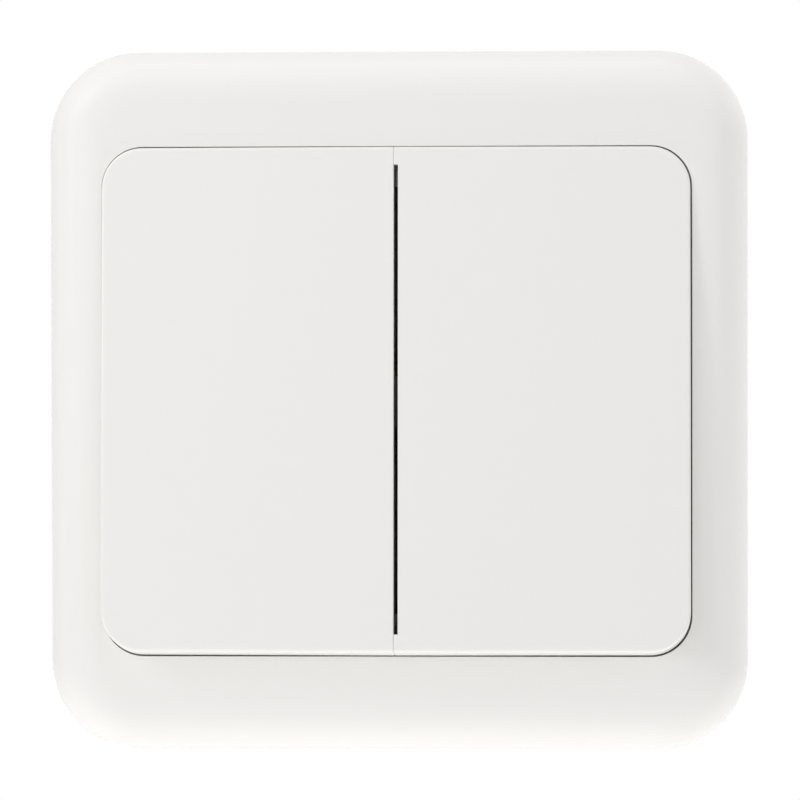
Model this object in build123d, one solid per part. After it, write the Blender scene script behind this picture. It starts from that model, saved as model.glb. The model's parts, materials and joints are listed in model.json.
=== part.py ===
from build123d import *
from math import cos, radians, sin, sqrt, tan
import os

# Double light switch for a flush wall box. Lengths are in millimetres, angles in degrees.
# Everything is drawn in a wall frame: x to the right, y up, z out of the wall towards the room.
# The export turns it so that +Z is up, the wall is the plane y = 0 and the front looks along -Y.

# Front frame
frame_side = 82.0
frame_corner = 10.5  # corner radius seen from the front
frame_rise = 8.6  # wall to the flat front
frame_wall = 2.0
shoulder_radius = 5.2  # round between the outer edge and the slope
shoulder_width = 5.7  # outer edge to the crease
crease_tilt = 8.0  # slope of the shoulder where it meets the flat front
side_margin = 6.6  # window to outer edge, left and right
end_margin = 11.25  # window to outer edge, top and bottom
window_corner = 4.8
window_draft = 3.5  # the window widens towards the wall
collar_wall = 1.4  # wall that runs back from the window
ledge_width = 2.1  # clip ledge inside the window, top and bottom
ledge_thick = 1.4
ledge_lift = 0.6  # ledge above the yoke
ledge_corner = 2.0
stiffener_thick = 1.2
stiffener_offset = 20.0

# Rockers
rocker_tilt = 3.2  # either side of level
rocker_stand = 1.8  # level face above the front of the frame
rocker_gap = 0.5  # between the two rockers
swing_clearance = 0.2  # rocker to window
rocker_plate = 2.0
rocker_wall = 1.5
rocker_edge = 0.5  # radius round the front face
inner_edge = 0.15  # bevel beside the gap between the rockers
nib_length = 2.0  # spacer nibs that close the ends of that gap
nib_clearance = 0.1  # nib to the other rocker
skirt_clearance = 0.6  # pressed skirt above the ledge
web_thick = 1.0  # stiffening webs under the face
web_depth = 1.2
web_offset = 18.0
post_offset = 8.5  # clip posts from the hinge axis
post_width = 5.0
post_thick = 2.0
post_clearance = 0.1
barb_reach = 0.4
barb_height = 1.2
barb_clearance = 0.05

# Hinges and carriers
hinge_height = 4.2  # hinge axis above the wall
trunnion_diameter = 3.2
trunnion_length = 2.0
trunnion_clearance = 0.05
side_play = 0.2
carrier_width = 15.0
carrier_length = 24.0
carrier_plate = 2.0
cheek_thick = 1.5
cheek_rim = 1.0  # cheek around the trunnion
tube_side = 5.6
tube_reach = 8.2  # tube end behind the hinge axis

# Plungers and springs
plunger_side = 3.6
plunger_clearance = 0.08
plunger_guide = 3.0  # length held in the tube
tip_radius = 1.2
tip_gap = 0.08
spring_length = 6.0
spring_diameter = 3.4
spring_wire = 0.5
spring_turns = 3.5
spring_steps = 8  # straight runs in a turn
spring_seat = 0.03

# Bearing plate
bearing_thick = 1.8
bearing_border = 1.4  # plate outside the ears
bearing_gap = 2.5  # plate edge to the ledge
bearing_chamfer = 3.0
bearing_rim = 1.0  # rib and ears above the trunnion holes
upright_chamfer = 1.5
rib_width = 5.6
ear_thick = 2.4
ear_length = 9.0
well_clearance = 1.0
hook_offset = 9.0
hook_width = 5.0
hook_stem = 1.2
hook_nose = 0.45
hook_clearance = 0.3
hook_height = 1.3
hook_land = 0.3  # straight part of the hook's nose
hook_lift = 0.05
foot_offset = 14.0
foot_width = 4.0
foot_thick = 1.2
foot_barb = 0.5
foot_gap = 1.2  # snap foot to the base
foot_depth = 1.4  # below the yoke

# Yoke
yoke_thick = 1.0
yoke_gap = 4.0  # yoke edge to the inside of the frame
yoke_chamfer = 14.0
box_pitch = 60.0  # wall box screws
slot_width = 3.8
slot_length = 6.0
lug_offset = 13.0
lug_width = 5.0
lug_length = 6.0
lug_nib = 0.8

# Base block
chamber_width = 15.0
chamber_length = 28.0
chamber_depth = 15.0
base_wall = 2.0  # outside the chambers, left and right
base_end = 6.0  # beyond the chambers, top and bottom
base_corner = 2.0  # bevel on the four upright edges
base_chamfer = 0.6
floor_thick = 1.2
stop_thick = 1.2
stop_gap = 0.07
fit_clearance = 0.1

# Contacts
bus_thick = 1.0
bus_width = 5.0
tongue_width = 4.0
fulcrum_radius = 0.8
fulcrum_width = 4.0
fulcrum_height = 3.2  # axis above the bus
fulcrum_clearance = 0.05
seesaw_thick = 1.0
seesaw_width = 5.0
seesaw_arm = 10.5
seesaw_crown = 0.9  # metal over the fulcrum
seesaw_saddle = 3.4
arm_rise = 10.0  # lift of each arm
contact_offset = 8.5
contact_side = 3.2
contact_thick = 0.7
contact_gap = 0.02
strip_thick = 1.0
strip_width = 5.0
strip_end = 2.2  # strip past the contact
strip_bend = 0.6

# Terminals
terminal_side = 7.0
terminal_length = 7.8
terminal_inset = 4.0  # terminal centre from the side of the base
wire_bore = 3.0
wire_depth = 6.5

# Screws
terminal_screw = 3.0
terminal_head = 5.0
terminal_head_height = 1.6
terminal_screw_gap = 0.3  # head above the terminal, backed off for a wire
tip_clearance = 0.1  # screw tip short of the wire bore
claw_screw = 3.0
claw_head = 5.4
claw_head_height = 1.6
claw_screw_end = 2.5  # screw past the claw
screw_clearance = 0.1
slot_cut = 0.8
slot_cut_depth = 0.8
screw_sides = 12  # flats on a drawn screw

# Claws
claw_depth = 18.5  # claw pivot behind the yoke
claw_thick = 1.2
claw_width = 8.0
claw_leg = 16.0
claw_foot = 1.8  # foot inside the screw axis
claw_gap = 0.7
claw_hole_clearance = 0.25
claw_bend = 0.8
claw_teeth = 3
tooth_pitch = 2.0
tooth_height = 0.8
head_gap = 0.7  # claw screw head to the ear

# Places that follow from the sizes above
slope_run = shoulder_width - shoulder_radius * (1 - sin(radians(crease_tilt)))
slope_rise = slope_run * tan(radians(crease_tilt))
skirt_height = frame_rise - slope_rise - shoulder_radius * cos(radians(crease_tilt))
window_half_width = frame_side / 2 - side_margin
window_half_height = frame_side / 2 - end_margin
window_radius = sqrt(window_half_height**2 + (frame_rise - hinge_height) ** 2)
ledge_base = yoke_thick + ledge_lift
ledge_top = ledge_base + ledge_thick
ledge_inner = window_half_height - ledge_width
hook_top = ledge_top + hook_lift + hook_height

face_level = frame_rise + rocker_stand - hinge_height
under_level = face_level - rocker_plate
swing_drop = window_half_height * sin(radians(rocker_tilt))
skirt_level = ledge_top + skirt_clearance + swing_drop - hinge_height
rocker_radius = window_radius - swing_clearance
rocker_end = sqrt(rocker_radius**2 - face_level**2)
skirt_end = sqrt(rocker_radius**2 - skirt_level**2)
rocker_inner = rocker_gap / 2
nib_inner = nib_clearance - rocker_inner
nib_start = rocker_end - nib_length
rocker_outer = window_half_width - swing_clearance
rocker_corner = window_corner - swing_clearance

gang_offset = rib_width / 2 + side_play + carrier_width / 2
carrier_level = under_level - carrier_plate
tube_bore = plunger_side + 2 * plunger_clearance
cheek_radius = trunnion_diameter / 2 + cheek_rim
trunnion_bore = trunnion_diameter / 2 + trunnion_clearance
ear_inner = gang_offset + carrier_width / 2 + side_play
ear_outer = ear_inner + ear_thick
well_half = tube_side / 2 + tube_reach * sin(radians(rocker_tilt)) + well_clearance
bearing_top = yoke_thick + bearing_thick
bearing_half_width = ear_outer + bearing_border
bearing_half_height = ledge_inner - bearing_gap
rib_top = hinge_height + trunnion_bore + bearing_rim

floor_level = -chamber_depth
pocket_level = floor_level - floor_thick
back_level = pocket_level - terminal_length
base_half_width = gang_offset + chamber_width / 2 + base_wall
base_half_height = chamber_length / 2 + base_end
terminal_offset = base_half_height - terminal_inset
fulcrum_level = floor_level + bus_thick + fulcrum_height
valley = fulcrum_radius + fulcrum_clearance + seesaw_crown
arm_under = fulcrum_level + valley * cos(radians(arm_rise)) - seesaw_thick
strip_top = arm_under - 2 * contact_thick - contact_gap
pedestal_top = strip_top - strip_thick
strip_start = contact_offset - strip_end
tip_level = fulcrum_level + valley + tip_gap - hinge_height
plunger_back = plunger_guide - tube_reach
spring_top = plunger_back + spring_length

yoke_half = frame_side / 2 - frame_wall - yoke_gap
claw_offset = ear_outer + claw_head / 2 + head_gap
claw_pivot = -claw_depth
foot_inner = base_half_height + foot_gap
foot_outer = foot_inner + foot_thick

SIDES = {"left": -1, "right": 1}
ROOM = 200.0  # longer than the switch, for cutting tools


def block(x_low, x_high, y_low, y_high, z_low, z_high):
    """Box between two corners."""
    low = (x_low, y_low, z_low)
    return Pos(*low) * Box(x_high - x_low, y_high - y_low, z_high - z_low, align=(Align.MIN,) * 3)


def along_x(section, width):
    """Section drawn with y across and z up, carried equally to both sides along x."""
    return extrude(Plane.YZ * section, amount=width / 2, both=True)


def rod(diameter, length):
    """Round bar along z that starts at the origin."""
    return Cylinder(diameter / 2, length, align=(Align.CENTER, Align.CENTER, Align.MIN))


def flat_sided(diameter, length):
    """Bar along z with many flats, which lies inside a round one of the same diameter."""
    return extrude(RegularPolygon(diameter / 2, screw_sides), amount=length)


def slotted_screw(diameter, length, head, head_height):
    """Slotted screw with its seat at the origin and its shank along -z."""
    shank = Pos(0, 0, -length) * flat_sided(diameter, length)
    slot = block(-head, head, -slot_cut / 2, slot_cut / 2, head_height - slot_cut_depth, head_height)
    return shank + flat_sided(head, head_height) - slot


def hinged(shape):
    """Moves a piece drawn about the hinge axis, face level, to its place with the top pressed in."""
    return Pos(0, 0, hinge_height) * Rot(-rocker_tilt, 0, 0) * shape


def round_square(section):
    """Solid with a section, x inward from the outer edge and y up, carried round the frame's outline."""
    straight = frame_side - 2 * frame_corner
    inward = Plane(origin=(frame_side / 2, straight / 2, 0), x_dir=(-1, 0, 0), z_dir=(0, 1, 0))
    section = inward * section
    side = extrude(section, amount=straight, dir=(0, -1, 0))
    corner = revolve(section, Axis((straight / 2, straight / 2, 0), (0, 0, 1)), revolution_arc=90)
    quarter = side + corner
    top = section.bounding_box().max.Z
    body = block(-straight / 2, straight / 2, -straight / 2, straight / 2, 0, top)
    for turn in range(4):
        body += Rot(0, 0, 90 * turn) * quarter
    return body


def frame_pillow():
    """Full outline of the frame: straight skirt, round shoulder, short slope, crease and flat front."""
    across, up = cos(radians(crease_tilt)), sin(radians(crease_tilt))
    skirt_top = (0, skirt_height)
    slope_start = (shoulder_radius * (1 - up), skirt_height + shoulder_radius * across)
    crease = (shoulder_width, frame_rise)
    section = make_face(
        [
            Line((0, 0), skirt_top),
            TangentArc(skirt_top, slope_start, tangent=(0, 1)),
            Polyline(slope_start, crease, (frame_corner, frame_rise), (frame_corner, 0), (0, 0)),
        ]
    )
    return round_square(section)


def frame_cavity():
    """Hollow behind the frame, with a bevel that keeps the shoulder's wall even."""
    inner_radius = shoulder_radius - frame_wall
    roof = frame_rise - frame_wall
    bevel_low = (frame_wall, skirt_height + inner_radius * (sqrt(2) - 1))
    bevel_high = (shoulder_radius - inner_radius * sqrt(2) + roof - skirt_height, roof)
    outline = Polyline(
        (frame_wall, 0), bevel_low, bevel_high, (frame_corner, roof), (frame_corner, 0), close=True
    )
    return round_square(make_face(outline))


def front_frame():
    """Frame shell with the collar round the window, the clip ledges and the stiffeners behind."""
    pillow = frame_pillow()
    deepening = (frame_rise - ledge_top) * tan(radians(window_draft))
    collar_x = window_half_width + deepening + collar_wall
    collar_y = window_half_height + deepening + collar_wall
    outline = RectangleRounded(2 * collar_x, 2 * collar_y, window_corner + collar_wall)
    inside = extrude(Pos(0, 0, ledge_base) * outline, amount=frame_rise - ledge_base)
    reach = frame_side / 2 - frame_wall / 2
    for place in (-stiffener_offset, stiffener_offset):
        low, high = place - stiffener_thick / 2, place + stiffener_thick / 2
        inside += block(-reach, reach, low, high, ledge_base, frame_rise)
        inside += block(low, high, -reach, reach, ledge_base, frame_rise)
    body = pillow - frame_cavity() + (inside & pillow)

    edge = RectangleRounded(2 * window_half_width, 2 * window_half_height, window_corner)
    depth = frame_rise - ledge_top
    body -= extrude(Pos(0, 0, frame_rise) * edge, amount=depth, dir=(0, 0, -1), taper=-window_draft)
    opening = RectangleRounded(2 * window_half_width, 2 * ledge_inner, ledge_corner)
    return body - extrude(opening, amount=ledge_top)


def rocker_outline(inner):
    """Right-hand rocker as a block about the hinge axis, from its inner side outwards.

    The ends lean: they are chords of the drum that turns inside the window, so they clear it all the way.
    """
    section = Pos(inner, skirt_end) * Rectangle(rocker_outer - inner, ROOM, align=(Align.MIN, Align.MAX))
    outer_corner = section.vertices().sort_by_distance((rocker_outer, skirt_end, 0))[0]
    section = fillet(outer_corner, rocker_corner)
    lean = Vector(0, rocker_end - skirt_end, face_level - skirt_level)
    upper = extrude(Pos(0, 0, skirt_level) * section, amount=lean.length, dir=lean)
    return upper & mirror(upper, Plane.XZ)


def face_edges(body):
    """Edges round the front face of a rocker, from the centre gap outwards."""
    return body.faces().sort_by(Axis.Z)[-1].edges().sort_by(Axis.X)


def rocker(inner):
    """Right-hand rocker cap about the hinge axis: dished plate, leaning skirts, webs and clip posts.

    Where its inner side lies nearer the centre than the gap allows, only the nibs at its ends stay there.
    """
    body = rocker_outline(inner)
    body = fillet(face_edges(body)[1:], rocker_edge)
    if inner < rocker_inner:
        body -= block(inner, rocker_inner, -nib_start, nib_start, skirt_level, face_level)
    body = chamfer(face_edges(body).filter_by(Axis.Y)[:-1], inner_edge)

    # The hollow bevels its outer corners, behind the round ones
    hollow_end = rocker_end - rocker_wall
    bevel = rocker_corner - rocker_wall
    hollow = Polyline(
        (rocker_inner + rocker_wall, -hollow_end),
        (rocker_outer - rocker_corner, -hollow_end),
        (rocker_outer - rocker_wall, -hollow_end + bevel),
        (rocker_outer - rocker_wall, hollow_end - bevel),
        (rocker_outer - rocker_corner, hollow_end),
        (rocker_inner + rocker_wall, hollow_end),
        close=True,
    )
    body -= extrude(Pos(0, 0, skirt_level) * make_face(hollow), amount=under_level - skirt_level)

    # Webs reach into the side skirts and stay short of the carrier
    for place in (-web_offset, web_offset):
        body += block(
            rocker_inner + rocker_wall / 2,
            rocker_outer - rocker_wall / 2,
            place - web_thick / 2,
            place + web_thick / 2,
            under_level - web_depth,
            under_level,
        )

    # Clip posts with a barb behind the carrier plate
    barb_top = carrier_level - barb_clearance
    post_section = Polyline(
        (post_offset - post_thick / 2, under_level + rocker_plate / 2),
        (post_offset + post_thick / 2, under_level + rocker_plate / 2),
        (post_offset + post_thick / 2, barb_top),
        (post_offset + post_thick / 2 + barb_reach, barb_top),
        (post_offset + post_thick / 2 - barb_reach, barb_top - barb_height),
        (post_offset - post_thick / 2, barb_top - barb_height),
        close=True,
    )
    post = Pos(gang_offset, 0, 0) * along_x(make_face(post_section), post_width)
    body += post + mirror(post, Plane.XZ)

    # Room for the rib of the bearing plate in the inner skirt, and for its hooks in the end skirts
    rib_room = ear_length / 2 + well_clearance
    body -= block(0, rocker_inner + rocker_wall, -rib_room, rib_room, skirt_level, under_level)
    hook_room = hook_width / 2 + well_clearance
    hook_level = min(hook_top - hinge_height + swing_drop + hook_clearance, under_level)
    low, high = hook_offset - hook_room, hook_offset + hook_room
    notch = block(low, high, hollow_end, ROOM, skirt_level, hook_level)
    return body - notch - mirror(notch, Plane.XZ)


def carrier():
    """Tilting cradle about the hinge axis: plate, cheeks with trunnions and the plunger tube."""
    half_width, half_length = carrier_width / 2, carrier_length / 2
    body = block(-half_width, half_width, -half_length, half_length, carrier_level, under_level)
    foot = cheek_radius * (sqrt(2) - 1)  # eight-sided round the trunnion
    cheek = make_face(
        Polyline(
            (-foot, -cheek_radius),
            (foot, -cheek_radius),
            (cheek_radius, -foot),
            (cheek_radius, carrier_level),
            (-cheek_radius, carrier_level),
            (-cheek_radius, -foot),
            close=True,
        )
    )
    reach = half_width + trunnion_length
    axle = Pos(-reach, 0, 0) * Rot(0, 90, 0) * rod(trunnion_diameter, 2 * reach)
    between = half_width - cheek_thick
    axle -= block(-between, between, -ROOM, ROOM, -ROOM, ROOM)
    for side in SIDES.values():
        body += Pos(side * (half_width - cheek_thick / 2), 0, 0) * along_x(cheek, cheek_thick)
    body += axle
    half_tube, half_bore = tube_side / 2, tube_bore / 2
    body += block(-half_tube, half_tube, -half_tube, half_tube, -tube_reach, carrier_level)
    body -= block(-half_bore, half_bore, -half_bore, half_bore, -tube_reach, spring_top)

    socket_x = post_width / 2 + post_clearance
    for side in SIDES.values():
        low = side * post_offset - post_thick / 2 - post_clearance
        high = side * post_offset + post_thick / 2 + post_clearance
        body -= block(-socket_x, socket_x, low, high, carrier_level, under_level)
    return body


def plunger():
    """Square pin about the hinge axis with a round nose across it. It runs in the carrier's tube."""
    half = plunger_side / 2
    nose = tip_level + tip_radius
    section = make_face(
        [
            ThreePointArc((-tip_radius, nose), (0, tip_level), (tip_radius, nose)),
            Polyline(
                (tip_radius, nose),
                (half, nose + half - tip_radius),
                (half, plunger_back),
                (-half, plunger_back),
                (-half, nose + half - tip_radius),
                (-tip_radius, nose),
            ),
        ]
    )
    return along_x(section, plunger_side)


def spring():
    """Coil spring of square wire between the plunger and the closed end of the tube."""
    mean_radius = (spring_diameter - spring_wire) / 2
    start = plunger_back + spring_wire / 2 + spring_seat
    rise = spring_length - spring_wire - 2 * spring_seat
    steps = round(spring_turns * spring_steps)
    wire = Plane.XZ * Rectangle(spring_wire, spring_wire)
    coil = [
        Rot(0, 0, 360 * step / spring_steps) * Pos(mean_radius, 0, start + rise * step / steps) * wire
        for step in range(steps + 1)
    ]
    return loft(coil, ruled=True)


def bearing_plate():
    """Dark moulded plate with the trunnion rib and ears, the carrier wells and the frame hooks."""
    outline = Rectangle(2 * bearing_half_width, 2 * bearing_half_height)
    outline = chamfer(outline.vertices(), bearing_chamfer)
    body = extrude(Pos(0, 0, yoke_thick) * outline, amount=bearing_thick)
    half_rib, half_ear = rib_width / 2, ear_length / 2
    for low, high in ((-ear_outer, -ear_inner), (-half_rib, half_rib), (ear_inner, ear_outer)):
        upright = block(low, high, -half_ear, half_ear, yoke_thick, rib_top)
        top_edges = upright.faces().sort_by(Axis.Z)[-1].edges().filter_by(Axis.X)
        body += chamfer(top_edges, upright_chamfer)
    for side in SIDES.values():
        inner, outer = sorted((side * half_rib, side * ear_inner))
        body -= block(inner, outer, -well_half, well_half, yoke_thick, bearing_top)
    # One straight bore through ears and rib takes the trunnions of both carriers
    body -= Pos(-ear_outer, 0, hinge_height) * Rot(0, 90, 0) * rod(2 * trunnion_bore, 2 * ear_outer)

    hook, foot = hook_block(), foot_block()
    for side in SIDES.values():
        for turned in (0, 180):
            body += Rot(0, 0, turned) * Pos(side * hook_offset, 0, 0) * hook
            body += Rot(0, 0, turned) * Pos(side * foot_offset, 0, 0) * foot

    head_room = claw_head / 2 + hook_clearance
    for side in SIDES.values():
        body -= Pos(side * claw_offset, 0, yoke_thick) * rod(2 * head_room, bearing_thick)
    return body


def hook_block():
    """Snap hook that reaches over the upper clip ledge of the frame."""
    stem_out = ledge_inner - hook_clearance
    stem_in = stem_out - hook_stem
    nose = ledge_inner + hook_nose
    under_nose = ledge_top + hook_lift
    section = Polyline(
        (bearing_half_height - hook_stem, yoke_thick),
        (stem_out, yoke_thick),
        (stem_out, under_nose),
        (nose, under_nose),
        (nose, under_nose + hook_land),
        (stem_out, hook_top),
        (stem_in, hook_top),
        (stem_in, bearing_top),
        (bearing_half_height - hook_stem, bearing_top),
        close=True,
    )
    return along_x(make_face(section), hook_width)


def foot_block():
    """Snap foot that goes through the yoke and grips its back."""
    barb_top = -hook_lift
    section = Polyline(
        (foot_inner, bearing_top),
        (foot_outer, bearing_top),
        (foot_outer, barb_top),
        (foot_outer + foot_barb, barb_top),
        (foot_outer - foot_barb, -foot_depth),
        (foot_inner, -foot_depth),
        close=True,
    )
    return along_x(make_face(section), foot_width)


def lug_block():
    """Right-hand lug bent back from the yoke, with a nib that holds the base."""
    inner, outer = base_half_width, base_half_width + yoke_thick
    nib_top = yoke_thick - lug_length
    section = Polyline(
        (inner, yoke_thick),
        (outer, yoke_thick),
        (outer, -lug_length),
        (inner - lug_nib, -lug_length),
        (inner - lug_nib, nib_top),
        (inner, nib_top + lug_nib),
        close=True,
    )
    return extrude(Plane.XZ * make_face(section), amount=lug_width / 2, both=True)


def lug_places():
    """Lugs stand beside the four corners of the base, as turn about z and place along y."""
    return [(turned, place) for turned in (0, 180) for place in (-lug_offset, lug_offset)]


def support_yoke():
    """Zinc-plated steel plate with carrier wells, bent lugs and the slots for the wall box."""
    sheet = Rectangle(2 * yoke_half, 2 * yoke_half)
    sheet = chamfer(sheet.vertices(), yoke_chamfer)
    foot_hole = Rectangle(foot_width + 2 * fit_clearance, foot_thick + 2 * fit_clearance)
    for side in SIDES.values():
        sheet -= Pos(side * gang_offset, 0) * Rectangle(carrier_width + 2 * side_play, 2 * well_half)
        sheet -= Pos(side * claw_offset, 0) * Circle(claw_screw / 2 + screw_clearance)
        sheet -= Pos(side * box_pitch / 2, 0) * SlotOverall(slot_length, slot_width)
        for end in (-1, 1):
            sheet -= Pos(side * foot_offset, end * (foot_inner + foot_outer) / 2) * foot_hole
    # Each lug leaves a window of its own length in the sheet
    lug_window = Rectangle(lug_length, lug_width, align=(Align.MIN, Align.CENTER))
    for turned, place in lug_places():
        sheet -= Rot(0, 0, turned) * Pos(base_half_width + yoke_thick, place) * lug_window
    body = extrude(sheet, amount=yoke_thick)
    for turned, place in lug_places():
        body += Rot(0, 0, turned) * Pos(0, place, 0) * lug_block()
    return body


def base_block():
    """Dark moulded block: two contact chambers, a channel for the bus and three terminal pockets."""
    outline = Rectangle(2 * base_half_width, 2 * base_half_height)
    outline = chamfer(outline.vertices(), base_corner)
    body = extrude(Pos(0, 0, back_level) * outline, amount=-back_level)
    body = chamfer(body.faces().sort_by(Axis.Z)[0].edges(), base_chamfer)
    half_length = chamber_length / 2
    half_strip = strip_width / 2 + fit_clearance
    slot_end = terminal_offset + strip_thick + fit_clearance
    for side in SIDES.values():
        centre = side * gang_offset
        low, high = centre - chamber_width / 2, centre + chamber_width / 2
        body -= block(low, high, -strip_start, half_length, floor_level, 0)
        body -= block(low, high, -half_length, -strip_start, pedestal_top, 0)
        stop = contact_offset - stop_thick / 2
        body += block(low, high, stop, stop + stop_thick, floor_level, arm_under - stop_gap)
        # The fixed strip drops into a slot in the end wall and down to its terminal
        low, high = centre - half_strip, centre + half_strip
        body -= block(low, high, -slot_end, -half_length, pedestal_top, 0)
        body -= block(low, high, -slot_end, -terminal_offset + fit_clearance, pocket_level, 0)
    half_bus = bus_width / 2 + fit_clearance
    half_tongue = tongue_width / 2 + fit_clearance
    body -= block(-gang_offset, gang_offset, -half_bus, half_bus, floor_level, 0)
    body -= block(-half_tongue, half_tongue, 0, slot_end, floor_level, 0)
    body -= block(-half_tongue, half_tongue, terminal_offset - fit_clearance, slot_end, pocket_level, 0)

    half_pocket = terminal_side / 2 + fit_clearance
    for x, y in terminal_places():
        outside = base_half_height if y > 0 else -base_half_height
        low, high = sorted((y - half_pocket if y > 0 else y + half_pocket, outside))
        body -= block(x - half_pocket, x + half_pocket, low, high, back_level, pocket_level)
    # Notches for the nibs of the yoke's lugs
    notch_x = base_half_width - lug_nib - fit_clearance
    notch_y = lug_width / 2 + fit_clearance
    notch_low = -lug_length - fit_clearance
    notch_high = yoke_thick - lug_length + lug_nib + fit_clearance
    for turned, place in lug_places():
        notch = block(notch_x, base_half_width, -notch_y, notch_y, notch_low, notch_high)
        body -= Rot(0, 0, turned) * Pos(0, place, 0) * notch
    return body


def terminal_places():
    """Common terminal at the top, outgoing terminals below."""
    return [(0, terminal_offset)] + [(side * gang_offset, -terminal_offset) for side in SIDES.values()]


def common_bus():
    """Brass strip across both chambers with the two fulcrum posts and the tongue to its terminal."""
    reach = gang_offset + fulcrum_width / 2
    top = floor_level + bus_thick
    body = block(-reach, reach, -bus_width / 2, bus_width / 2, floor_level, top)
    end = terminal_offset + bus_thick
    body += block(-tongue_width / 2, tongue_width / 2, 0, end, floor_level, top)
    body += block(-tongue_width / 2, tongue_width / 2, terminal_offset, end, pocket_level, top)
    post = Rectangle(2 * fulcrum_radius, fulcrum_height, align=(Align.CENTER, Align.MAX))
    post = along_x(post + Circle(fulcrum_radius), fulcrum_width)
    for side in SIDES.values():
        body += Pos(side * gang_offset, 0, fulcrum_level) * post
    return body


def contact_seesaw():
    """Brass rocking contact about its fulcrum, tipped so that its lower arm lies level."""
    across, up = cos(radians(arm_rise)), sin(radians(arm_rise))
    arm = Polyline(
        (0, valley),
        (seesaw_arm * across, valley + seesaw_arm * up),
        (seesaw_arm * across + seesaw_thick * up, valley + seesaw_arm * up - seesaw_thick * across),
        (0, valley - seesaw_thick / across),
        close=True,
    )
    arm = make_face(arm)
    saddle_height = valley - seesaw_thick / 2
    saddle = Rectangle(seesaw_saddle, saddle_height, align=(Align.CENTER, Align.MIN))
    section = arm + mirror(arm, Plane.YZ) + saddle - Circle(fulcrum_radius + fulcrum_clearance)
    return Pos(0, 0, fulcrum_level) * Rot(arm_rise, 0, 0) * along_x(section, seesaw_width)


def contact_pad():
    """Square silver pad that stands on the origin."""
    half = contact_side / 2
    return block(-half, half, -half, half, 0, contact_thick)


def moving_contact():
    """Silver pad welded under the lower arm of the seesaw."""
    return Pos(0, -contact_offset, arm_under - contact_thick) * contact_pad()


def fixed_contact():
    """Silver pad welded on the fixed strip."""
    return Pos(0, -contact_offset, strip_top) * contact_pad()


def fixed_strip():
    """Brass strip from under the fixed contact down to the outgoing terminal."""
    end = -terminal_offset - strip_thick
    section = make_face(
        Polyline(
            (-strip_start, pedestal_top),
            (-strip_start, strip_top),
            (end, strip_top),
            (end, pocket_level),
            (-terminal_offset, pocket_level),
            (-terminal_offset, pedestal_top),
            close=True,
        )
    )
    outer_bend = section.vertices().sort_by_distance((end, strip_top, 0))[0]
    section = fillet(outer_bend, strip_bend)
    return along_x(section, strip_width)


def terminal():
    """Brass screw terminal with its wire bore open at the back and its screw hole along y."""
    half = terminal_side / 2
    body = block(-half, half, -half, half, back_level, pocket_level)
    body -= Pos(0, 0, back_level) * rod(wire_bore, wire_depth)
    middle = (back_level + pocket_level) / 2
    return body - Pos(0, 0, middle) * Rot(90, 0, 0) * rod(terminal_screw + 2 * screw_clearance, half)


def terminal_screw_in_place():
    """Terminal screw backed off until its tip clears the wire bore."""
    seat = terminal_side / 2 + terminal_screw_gap
    length = seat - wire_bore / 2 - tip_clearance
    middle = (back_level + pocket_level) / 2
    screw = slotted_screw(terminal_screw, length, terminal_head, terminal_head_height)
    return Pos(0, -seat, middle) * Rot(90, 0, 0) * screw


def claw():
    """Right-hand spreading claw: foot on its screw, leg beside it and teeth near the tip."""
    leg_in = claw_offset + claw_screw / 2 + claw_gap
    leg_out = leg_in + claw_thick
    foot_low, foot_high = claw_pivot - claw_thick / 2, claw_pivot + claw_thick / 2
    tip = claw_pivot + claw_leg
    teeth = []
    for tooth in range(claw_teeth):
        top = tip - tooth * tooth_pitch
        teeth += [(leg_out + tooth_height, top), (leg_out, top - tooth_pitch)]
    outline = Polyline(
        (claw_offset - claw_foot, foot_low),
        (claw_offset - claw_foot, foot_high),
        (leg_in, foot_high),
        (leg_in, tip),
        *teeth,
        (leg_out, foot_low),
        close=True,
    )
    section = make_face(outline)
    heel = section.vertices().sort_by_distance((leg_out, foot_low, 0))[0]
    section = fillet(heel, claw_bend)
    body = extrude(Plane.XZ * section, amount=claw_width / 2, both=True)
    hole = rod(claw_screw + 2 * claw_hole_clearance, 2 * claw_thick)
    return body - Pos(claw_offset, 0, claw_pivot - claw_thick) * hole


def grouped(shapes):
    """Like fasteners as separate solids in one node."""
    return Compound([solid for shape in shapes for solid in shape.solids()])


def terminal_screws():
    """One screw for each terminal, turned towards its side of the base."""
    screw = terminal_screw_in_place()
    turned = Rot(0, 0, 180) * screw
    return grouped([Pos(x, y, 0) * (turned if y > 0 else screw) for x, y in terminal_places()])


def claw_screws():
    """Two long screws that draw the claws up."""
    length = yoke_thick - claw_pivot + claw_thick / 2 + claw_screw_end
    screw = slotted_screw(claw_screw, length, claw_head, claw_head_height)
    return grouped([Pos(side * claw_offset, 0, yoke_thick) * screw for side in SIDES.values()])


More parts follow.
